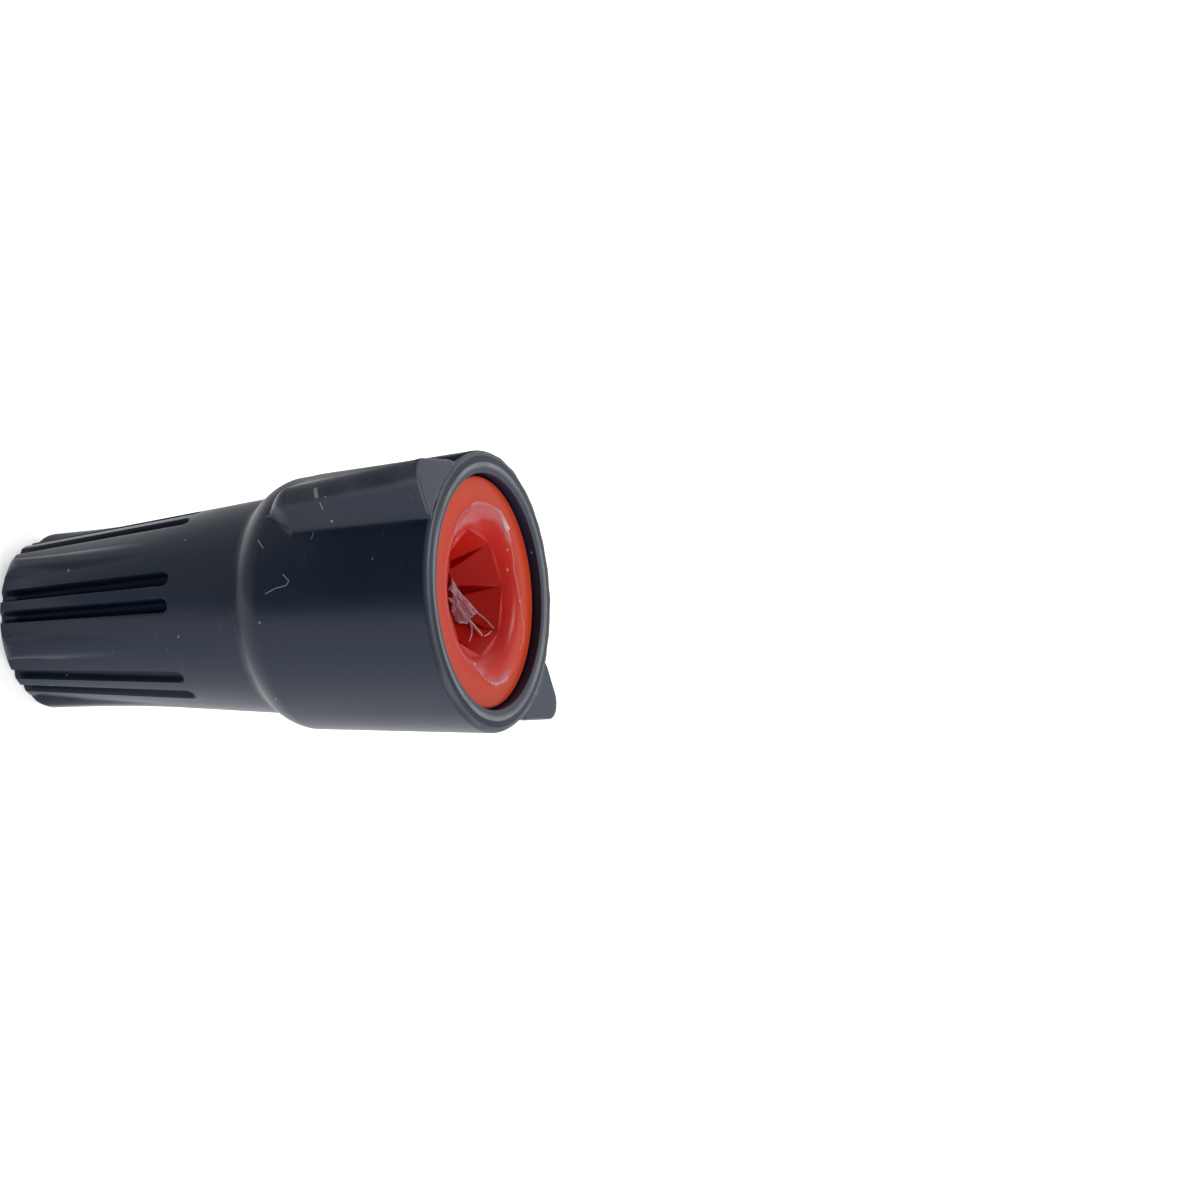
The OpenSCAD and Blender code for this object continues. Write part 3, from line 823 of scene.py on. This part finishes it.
def insert_rings(s, steps):
    """Rows round the insert's closed section: throat, facets, lip, flange, barrel and bore."""
    rings = Rings(np.linspace(0, FULL_TURN, steps, endpoint=False) + s.lead_turn)
    side = FULL_TURN / s.lead_sides
    a = wrapped((rings.angles - s.lead_turn) % side - side / 2)
    facet = math.cos(side / 2) / np.cos(a)
    lead_r = s.lead_end_r + s.lead_flare
    lip_r = lead_r + s.lip_round * math.sin(s.lip_turn)
    lip_z = INSERT_TOP - s.lip_round
    lead_z = lip_z + s.lip_round * math.cos(s.lip_turn)
    throat_z = lead_z - s.lead_flare / math.tan(s.lead_slope)
    ledge_z = throat_z - s.throat_len
    soft = 0.06 * MM
    rings.add(s.throat_r + soft, ledge_z)
    rings.add(s.throat_r, ledge_z + soft)
    rings.line((s.throat_r, ledge_z + soft), (s.throat_r, throat_z - soft), 4)
    slit_end = 0.85
    for part in np.linspace(0, 1, 15):
        corner_r = s.lead_end_r + s.lead_flare * part
        deep = s.slit_depth * np.clip(1 - part / slit_end, 0, 1)
        wide = s.slit_w / 2 * np.clip(1.15 - part / slit_end, 0.15, 1)
        near = corner_r * (side / 2 - np.abs(a))
        slit = deep * (1 - ease(near, 0.55 * wide, 1.25 * wide))
        rings.add(corner_r * facet + slit, throat_z + (lead_z - throat_z) * part)
    rings.line((lead_r * facet, lead_z), (lead_r, lead_z), 2)
    rings.arc((lip_r, lip_z), s.lip_round, math.pi / 2 + s.lip_turn, math.pi / 2, 12)
    rim = s.flange_r - s.flange_round
    rings.line((lip_r, INSERT_TOP), (rim, INSERT_TOP), 5)
    rings.arc((rim, INSERT_TOP - s.flange_round), s.flange_round, math.pi / 2, 0, 6)
    flange_z = INSERT_TOP - s.flange_thick
    barrel_r = s.flange_r - s.flange_lip
    barrel_end_r = barrel_r - (flange_z - INSERT_FOOT) * math.tan(s.draft)
    rings.line((s.flange_r, INSERT_TOP - s.flange_round), (s.flange_r, flange_z), 2)
    rings.add(barrel_r, flange_z)
    rings.line((barrel_r, flange_z), (barrel_end_r, INSERT_FOOT), 4)
    rings.add(s.chamber_r, INSERT_FOOT)
    rings.line((s.chamber_r, INSERT_FOOT), (s.chamber_r, ledge_z), 3)
    return rings


def lip_place(s, angle, off):
    """Point and normal on the insert's face: off runs outwards on the flange and, below 0, down the lip."""
    lead_r = s.lead_end_r + s.lead_flare
    lip_r = lead_r + s.lip_round * math.sin(s.lip_turn)
    bent = np.clip(-off / s.lip_round, 0, s.lip_turn)
    radius = lip_r + np.maximum(off, 0) - s.lip_round * np.sin(bent)
    height = INSERT_TOP - s.lip_round * (1 - np.cos(bent))
    place = np.stack([radius * np.cos(angle), radius * np.sin(angle), height], -1)
    normal = np.stack([-np.sin(bent) * np.cos(angle), -np.sin(bent) * np.sin(angle), np.cos(bent)], -1)
    return place, normal


def facet_place(s, angle, depth, lift):
    """Point over a facet of the lead-in: an angle in degrees, a share of its depth and a lift off it."""
    side = FULL_TURN / s.lead_sides
    a = math.radians(angle)
    turned = (a - s.lead_turn) % side - side / 2
    radius = (s.lead_end_r + s.lead_flare * (1 - depth)) * math.cos(side / 2) / math.cos(turned) - lift
    lead_z = INSERT_TOP - s.lip_round * (1 - math.cos(s.lip_turn))
    return Vector((radius * math.cos(a), radius * math.sin(a),
                   lead_z - depth * s.lead_flare / math.tan(s.lead_slope)))


# Places on the insert's face: an angle in degrees, millimetres outwards from the lip's edge, and the ridge's
# height along an edge, or the width of a lobe or bead as a share of the largest lobe
FILM_EDGE = (
    (138, -0.3, 0.2), (120, 0, 0.3), (102, 0.1, 0.4), (90, 0.22, 0.4), (79, 0.25, 0.4), (66, 0.45, 0.5),
    (58, 0.6, 0.9), (50, 0.4, 1), (41, 0.15, 0.6), (34, 0, 0.5), (17, -0.45, 0.5), (5, -0.35, 0.5),
    (-5, -0.1, 0.5), (-13, 0.25, 0.5), (-20, 0.7, 0.6), (-29, 0.95, 0.6), (-38, 0.85, 0.4))
FILM_LOBES = (
    (132, -0.4, 0.25), (121, -0.55, 0.4), (108, -0.65, 0.55), (96, -0.45, 0.6), (86, -0.35, 0.5),
    (76, -0.2, 0.4), (66, 0, 0.4), (57, 0.25, 0.45), (48, 0.15, 0.45), (40, -0.05, 0.35))
FILM_BEADS = (
    *((61.5 - 1.6 * i, 0.36 - 0.02 * i, 0.05 + 0.08 * math.sin(0.16 * i) ** 2) for i in range(11)),
    (129, -1.2, 0.17), (34, -0.6, 0.11), (19, -1.04, 0.12), (-6, -0.1, 0.11))
SMEAR_EDGE = (
    (-46, 0.8, 0.2), (-52, 0.85, 0.3), (-61, 0.8, 0.35), (-71, 0.75, 0.5), (-79, 0.65, 0.6),
    (-88, 0.3, 0.5), (-97, -0.1, 0.4), (-108, -0.5, 0.7), (-117, -0.8, 0.3))
SMEAR_LOBES = ((-56, 0.55, 0.3), (-66, 0.5, 0.35), (-76, 0.4, 0.35), (-86, 0.1, 0.35), (-99, -0.4, 0.3))
SMEAR_BEADS = (
    *((-62 - 1.2 * i, 0.72 - 0.015 * i, 0.055 + 0.025 * math.sin(1.1 * i) ** 2) for i in range(20)),
    (-110, -0.6, 0.12))
# Places on the lead-in's facets: an angle in degrees and a share of the depth
WEB_UPPER = ((30, 0.97), (11, 0.96), (-1, 0.84), (-13, 0.65), (-25, 0.46))
WEB_LOWER = ((-18, 0.98), (-35, 0.97), (-47, 0.91), (-49, 0.78), (-44, 0.64))
STRANDS = (((-20, 0.86), (-33, 0.73), (-40, 0.57), (-50, 0.35), (-56, 0.2)),
           ((-18, 0.58), (-25, 0.46), (-31, 0.27), (-38, 0.07)),
           ((-36, 0.68), (-42, 0.58), (-62, 0.41), (-78, 0.35)),
           ((-56, 0.14), (-49, 0.1), (-43, 0.09)),
           ((24, 0.97), (11, 0.95), (-1, 0.84), (-13, 0.66)))
STRAND_SIZES = (1.1, 0.5, 0.5, 0.4, 0.6)


def ragged(place, scale):
    """Smooth noise about 0 at each place."""
    values = [noise.noise(Vector(p) * scale) for p in place.reshape(-1, 3)]
    return np.array(values).reshape(place.shape[:-1])


def residue_depth(s, place, angle, off, edge, lobes, beads):
    """Depth of a film at each place: thin inside its edge, with a ridge along it, pooled lobes and drops."""
    wander = ragged(place, 900)
    fine = ragged(place, 2600)
    stops, *columns = np.array(edge[::-1]).T
    edge_off, ridge = (np.interp(np.degrees(angle), stops, column) for column in columns)
    from_edge = off - (edge_off + 0.1 * wander + 0.02 * fine) * MM
    film = 0.04 * (1 - ease(from_edge, -0.1 * MM, 0.08 * MM)) * ease(off, off.min(), -1.2 * MM)
    swell = 0.5 * ridge * (1 + 0.5 * wander) * np.exp(-(from_edge / (0.09 * MM)) ** 2)
    cover = np.zeros_like(off)
    drops = np.zeros_like(off)
    radius = np.hypot(place[..., 0], place[..., 1])
    for spots, field, drawn_out in ((lobes, cover, 2), (beads, drops, 1)):
        for spot_angle, spot_off, spot in spots:
            around = radius * wrapped(angle - math.radians(spot_angle)) / drawn_out
            apart = np.hypot(around, off - spot_off * MM)
            field += np.exp(-(apart / (spot * s.lobe_d / 2)) ** 2)
    pooled = 0.16 * ease(cover + 0.45 * wander + 0.15 * fine, 0.25, 1.4)
    low, high, fade = angle.min(), angle.max(), 0.12
    tail = band(angle, low, low + fade, high - fade, high)
    return (film + swell + pooled + 1.1 * ease(drops, 0.1, 1.8)) * tail


def residue(s, insert, edge, lobes, beads):
    """Film of sealant on the insert's lip: a grid raised by the film's depth, and cut away where bare."""
    steps, rows = 420, 44
    run_out = 4
    bare_below, skin = 0.03, 0.004 * MM
    ends = np.radians([edge[-1][0] - run_out, edge[0][0] + run_out])
    angle, off = np.meshgrid(np.linspace(*ends, steps + 1), np.linspace(-1.55, 1.35, rows + 1) * MM)
    place, normal = lip_place(insert, angle, off)
    thick = residue_depth(s, place, angle, off, edge, lobes, beads)
    bm = bmesh.new()
    bmesh.ops.create_grid(bm, x_segments=steps, y_segments=rows, size=1)
    depth = bm.verts.layers.float.new("depth")
    ways = {}
    spots = zip(place.reshape(-1, 3), normal.reshape(-1, 3), thick.ravel())
    for v, (spot, out, amount) in zip(bm.verts[:], spots):
        v.co = spot + out * s.film_gap
        v[depth] = amount
        ways[tuple(v.co)] = Vector(out)
    bare = [f for f in bm.faces if max(v[depth] for v in f.verts) < bare_below]
    bmesh.ops.delete(bm, geom=bare, context="FACES")
    raised = bmesh.ops.extrude_face_region(bm, geom=bm.faces[:], use_keep_orig=True)
    for v in raised["geom"]:
        if isinstance(v, bmesh.types.BMVert):
            v.co += ways[tuple(v.co)] * (v[depth] * s.film_thick + skin)
    return bm


def strand(bm, path, thick, depth):
    """Adds a round drawn-out strand through a few places, thinner at its ends."""
    curve = bpy.data.curves.new("strand", "CURVE")
    curve.dimensions = "3D"
    curve.bevel_depth = thick / 2
    curve.bevel_resolution = 3
    curve.resolution_u = 10
    curve.use_fill_caps = True
    spline = curve.splines.new("BEZIER")
    spline.bezier_points.add(len(path) - 1)
    for i, (point, place) in enumerate(zip(spline.bezier_points, path)):
        point.co = place
        point.handle_left_type = point.handle_right_type = "AUTO"
        point.radius = 0.45 + 0.55 * math.sin(math.pi * (i + 0.5) / len(path))
    holder = linked("strand", curve)
    mesh = bpy.data.meshes.new_from_object(holder.evaluated_get(bpy.context.evaluated_depsgraph_get()))
    first = len(bm.verts)
    bm.from_mesh(mesh)
    bm.verts.ensure_lookup_table()
    for v in bm.verts[first:]:
        v[depth] = 3.5 * thick / MM + 0.4
    bpy.data.objects.remove(holder)
    bpy.data.curves.remove(curve)
    bpy.data.meshes.remove(mesh)


def web(s, insert):
    """Sheet of sealant drawn across the lead-in, with the strands that leave it."""
    columns, rows = 48, 28
    bm = bmesh.new()
    bmesh.ops.create_grid(bm, x_segments=columns, y_segments=rows, size=1)
    depth = bm.verts.layers.float.new("depth")
    share_along = np.linspace(0, 1, len(WEB_UPPER))
    sides = [np.array(side).T for side in (WEB_UPPER, WEB_LOWER)]
    web_lift = 0.18
    for i, v in enumerate(bm.verts):
        along = i % (columns + 1) / columns
        across = i // (columns + 1) / rows
        upper, lower = (np.array([np.interp(along, share_along, row) for row in side]) for side in sides)
        angle, down = upper + (lower - upper) * across
        lift = web_lift + math.sin(math.pi * across) * (0.1 + 0.14 * along)
        place = facet_place(insert, angle, down, lift * MM)
        crease = noise.noise((4 * along, 11 * across, 2 * along)) + 0.4 * noise.noise(place * 1800)
        v.co = facet_place(insert, angle, down, (lift + 0.09 * crease) * MM)
        rim = 1 - ease(min(across, 1 - across), 0, 0.16)
        # The milky depth also rises along the sheet's edges and towards its outer end, as a painted highlight
        # on the wet gel.
        v[depth] = 0.22 + 0.35 * crease + 0.15 * rim + 0.3 * along
    bmesh.ops.recalc_face_normals(bm, faces=bm.faces)
    bmesh.ops.solidify(bm, geom=bm.faces[:], thickness=s.web_thick)
    strand_lift = 0.24 * MM
    for path, share_of in zip(STRANDS, STRAND_SIZES):
        places = [facet_place(insert, angle, down, strand_lift) for angle, down in path]
        strand(bm, places, s.strand_d * share_of, depth)
    return bm


def spring_wire(s):
    """Square wire stood on its edge and wound into the tapered spring."""
    half = s.wire / math.sqrt(2)
    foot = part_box("coil_spring")[0].z + half
    pitch = 2 * half + s.coil_gap
    per_turn = 56
    bm = bmesh.new()
    made = bmesh.ops.create_circle(bm, segments=4, radius=half, cap_ends=False)
    bmesh.ops.bevel(bm, geom=made["verts"], offset=s.wire_round, segments=3, profile=0.5,
                    affect="VERTICES", material=-1)
    upright = Matrix.Translation((s.top_r, 0, foot)) @ Matrix.Rotation(math.pi / 2, 4, "X")
    bmesh.ops.transform(bm, matrix=upright, verts=bm.verts)
    bmesh.ops.spin(bm, geom=bm.verts[:] + bm.edges[:], cent=(0, 0, 0), axis=(0, 0, 1),
                   dvec=(0, 0, pitch / per_turn), angle=s.turns * FULL_TURN, steps=s.turns * per_turn)
    length = s.turns * pitch
    for v in bm.verts:
        left = np.clip((foot + length - v.co.z) / length, 0, 1)
        radius = math.hypot(v.co.x, v.co.y)
        v.co.xy *= (radius - s.taper * left) / radius
    bmesh.ops.holes_fill(bm, edges=[e for e in bm.edges if e.is_boundary])
    return bm


def plug_rings(s):
    """Rows of the plug, from the centre of its hollow top to the centre of its foot."""
    low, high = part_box("sealant_plug")
    plug_r = (high.x - low.x) / 2
    rings = Rings(np.linspace(0, FULL_TURN, 96, endpoint=False))
    for part in np.linspace(0, 1, 12):
        rings.add(plug_r * part, high.z - s.plug_bowl * (1 - part ** 2))
    rings.line((plug_r, high.z), (plug_r, low.z), 8)
    rings.add(0, low.z)
    return rings


class CONNECTOR_OT_shell(bpy.types.Operator):
    """Models the moulded shell with its wings, shoulder, ribs and flutes."""
    bl_idname = "connector.shell"
    bl_label = "Outer Shell"

    def execute(self, context):
        s = context.scene.connector_shell
        rings = shell_rings(s, context.scene.connector_insert, steps=600)
        piece = finished(rings.spun(), "moulded_shell", "outer_shell", shell_plastic(s))
        co = points(piece)
        # Stored shares: pale colour that holds worn edges and painted highlights, and painted shade in the
        # flutes and on the land.
        marked(piece, "wear_and_highlight", shell_wear_and_highlight(s, co))
        marked(piece, "recess", shell_painted_shade(s, co))
        return {"FINISHED"}


class CONNECTOR_OT_insert(bpy.types.Operator):
    """Models the insert with its flange, rounded lip, faceted lead-in and barrel."""
    bl_idname = "connector.insert"
    bl_label = "Funnel Insert"

    def execute(self, context):
        s = context.scene.connector_insert
        rings = insert_rings(s, steps=640)
        piece = finished(rings.spun(loop=True), "faceted_insert", "funnel_insert",
                         insert_plastic(s))
        co = points(piece)
        # Painted glow on the flange's outer part, where light would pass the thin plastic.
        outwards = ease(np.hypot(co[:, 0], co[:, 1]), 5.0 * MM, 6.6 * MM)
        marked(piece, "thin", outwards * ease(co[:, 2], INSERT_TOP - MM, INSERT_TOP))
        return {"FINISHED"}


class CONNECTOR_OT_spring(bpy.types.Operator):
    """Winds the tapered spring from square wire stood on its edge."""
    bl_idname = "connector.spring"
    bl_label = "Coil Spring"

    def execute(self, context):
        s = context.scene.connector_spring
        finished(spring_wire(s), "square_wire_spring", "coil_spring", spring_steel(s))
        return {"FINISHED"}


class CONNECTOR_OT_sealant(bpy.types.Operator):
    """Lays the sealant: films on the lip, a web with strands in the lead-in and a plug in the tip."""
    bl_idname = "connector.sealant"
    bl_label = "Sealant"

    def execute(self, context):
        s = context.scene.connector_sealant
        insert = context.scene.connector_insert
        gel = sealant_gel(s)
        for name, node, edge, lobes, beads in (
                ("lip_film", "sealant_film", FILM_EDGE, FILM_LOBES, FILM_BEADS),
                ("lip_smear", "sealant_smear", SMEAR_EDGE, SMEAR_LOBES, SMEAR_BEADS)):
            finished(residue(s, insert, edge, lobes, beads), name, node, gel)
        finished(web(s, insert), "drawn_strands", "sealant_strands", gel)
        plug = finished(plug_rings(s).spun(), "tip_plug", "sealant_plug", gel)
        marked(plug, "depth", np.full(len(plug.data.vertices), 1.0))
        return {"FINISHED"}


# Lamps: a name, a place and a side in metres, and a brightness
LAMPS = (("key_lamp", (0.13, 0.05, 0.25), 0.05, 14), ("side_lamp", (-0.06, -0.3, 0.12), 0.1, 5))


def add_lamp(name, place, side, glow):
    """Square lamp that faces the skirt."""
    lamp = bpy.data.lights.new(name, "AREA")
    lamp.size = side
    lamp.energy = glow * math.pi * side * side
    holder = linked(name, lamp)
    aim = Vector((0, 0, 0.8 * SHELL_TOP)) - Vector(place)
    turned = aim.to_track_quat("-Z", "Y").to_matrix().to_4x4()
    holder.matrix_world = Matrix.Translation(place) @ turned


def add_camera(s):
    """Camera that sees the connector lying on its side in the picture."""
    camera = bpy.data.cameras.new("camera")
    camera.lens = s.lens
    camera.sensor_width = 36
    camera.clip_start = 0.01
    camera.clip_end = 10
    eye = linked("camera", camera)
    forward = Vector(s.sight).normalized()
    right = forward.cross(Vector(s.upright)).normalized()
    up = right.cross(forward)
    turned = Matrix((right, up, -forward)).transposed().to_4x4()
    eye.matrix_world = Matrix.Translation(s.eye) @ turned
    bpy.context.scene.camera = eye


def floor_white(s):
    """Pale floor that keeps the object's soft shadow and shows as white."""
    material, start = new_material("floor_white")
    plain = start.node("ShaderNodeBsdfDiffuse", inputs={"Color": (*s.floor, 1)})
    lift = start.node("ShaderNodeEmission", inputs={"Color": WHITE, "Strength": background(start) * 0.55})
    both = start.node("ShaderNodeAddShader", inputs={0: plain, 1: lift})
    return surfaced(material, start, both)


def card_black(s):
    """Dark card that thins out inwards in two steps."""
    material, start = new_material("dark_card")
    place = start.node("ShaderNodeTexCoord", out="Object")
    apart = vectors(start, "DISTANCE", place, s.clear, "Value")
    cover = stored(start, "amount") * (0.6 * apart.ramp(0.01, 0.02) + 0.4 * apart.ramp(0.038, 0.048))
    plain = start.node("ShaderNodeBsdfDiffuse", inputs={"Color": (*s.flag, 1)})
    open_part = start.node("ShaderNodeBsdfTransparent")
    both = start.node("ShaderNodeMixShader", inputs={0: cover, 1: open_part, 2: plain})
    return surfaced(material, start, both)


def dark_card(s):
    """Wide card beside the object and a thin one behind it, which only gloss shows, as flags in a studio."""
    lift = 0.0004
    bm = bmesh.new()
    layer = bm.verts.layers.float.new("amount")
    turned = Matrix.Translation((-0.05, -0.01, lift)) @ Matrix.Rotation(math.radians(19), 4, "Z")
    wide = turned @ Matrix.Diagonal((0.75, 0.3, 1, 1)) @ Matrix.Translation((-0.1, 0.5, 0))
    behind = Matrix.Translation((0.137, -0.133, lift)) @ Matrix.Diagonal((0.25, 0.25, 1, 1))
    for spread, share_of in ((wide, 1), (behind, 0.3)):
        made = bmesh.ops.create_grid(bm, x_segments=1, y_segments=1, size=0.5, matrix=spread)
        for v in made["verts"]:
            v[layer] = share_of
    card = placed(bm, "dark_card", card_black(s))
    card.visible_camera = False
    card.visible_diffuse = False
    card.visible_shadow = False
    card.visible_transmission = False
    return card


def studio_world():
    """Soft white surroundings whose light fades towards the camera's side."""
    world = bpy.data.worlds.new("studio")
    world.use_nodes = True
    world.node_tree.nodes.clear()
    start = Wire(world.node_tree)
    dim_side = (-0.86, 0.45, 0.1)
    way = start.node("ShaderNodeTexCoord", out="Generated")
    toward = vectors(start, "DOT_PRODUCT", way, dim_side, "Value")
    seen = background(start)
    level = 1 - 0.93 * toward.ramp(0.15, 0.75)
    glow = start.node("ShaderNodeBackground", inputs={"Color": WHITE, "Strength": seen + (1 - seen) * level})
    start.node("ShaderNodeOutputWorld", inputs={"Surface": glow})
    return world


class CONNECTOR_OT_stage(bpy.types.Operator):
    """Sets the floor, the lights and the camera."""
    bl_idname = "connector.stage"
    bl_label = "Stage"

    def execute(self, context):
        s = context.scene.connector_stage
        context.scene.view_settings.view_transform = "Standard"
        bm = bmesh.new()
        bmesh.ops.create_grid(bm, x_segments=1, y_segments=1, size=s.floor_w / 2)
        floor = placed(bm, "floor", floor_white(s))
        flag = dark_card(s)
        context.scene.world = studio_world()
        for lamp in LAMPS:
            add_lamp(*lamp)
        add_camera(s)
        return {"FINISHED"}


class CONNECTOR_PT_pieces(bpy.types.Panel):
    """Lists the connector's pieces and stage."""
    bl_label = "Twist Wire Connector"
    bl_idname = "CONNECTOR_PT_pieces"
    bl_space_type = "VIEW_3D"
    bl_region_type = "UI"
    bl_category = "Connector"

    def draw(self, context):
        for operator in OPERATORS:
            self.layout.operator(operator.bl_idname)


SETTINGS = {
    "connector_shell": ShellSettings,
    "connector_insert": InsertSettings,
    "connector_spring": SpringSettings,
    "connector_sealant": SealantSettings,
    "connector_stage": StageSettings,
}
OPERATORS = (CONNECTOR_OT_shell, CONNECTOR_OT_insert, CONNECTOR_OT_spring, CONNECTOR_OT_sealant,
             CONNECTOR_OT_stage)


def register():
    for cls in (*SETTINGS.values(), *OPERATORS, CONNECTOR_PT_pieces):
        bpy.utils.register_class(cls)
    for name, group in SETTINGS.items():
        setattr(bpy.types.Scene, name, PointerProperty(type=group))


def unregister():
    for name in SETTINGS:
        delattr(bpy.types.Scene, name)
    for cls in (CONNECTOR_PT_pieces, *reversed(OPERATORS), *reversed(SETTINGS.values())):
        bpy.utils.unregister_class(cls)


def main():
    register()
    bpy.ops.connector.shell()
    bpy.ops.connector.insert()
    bpy.ops.connector.spring()
    bpy.ops.connector.sealant()
    bpy.ops.connector.stage()


if __name__ == "__main__":
    main()
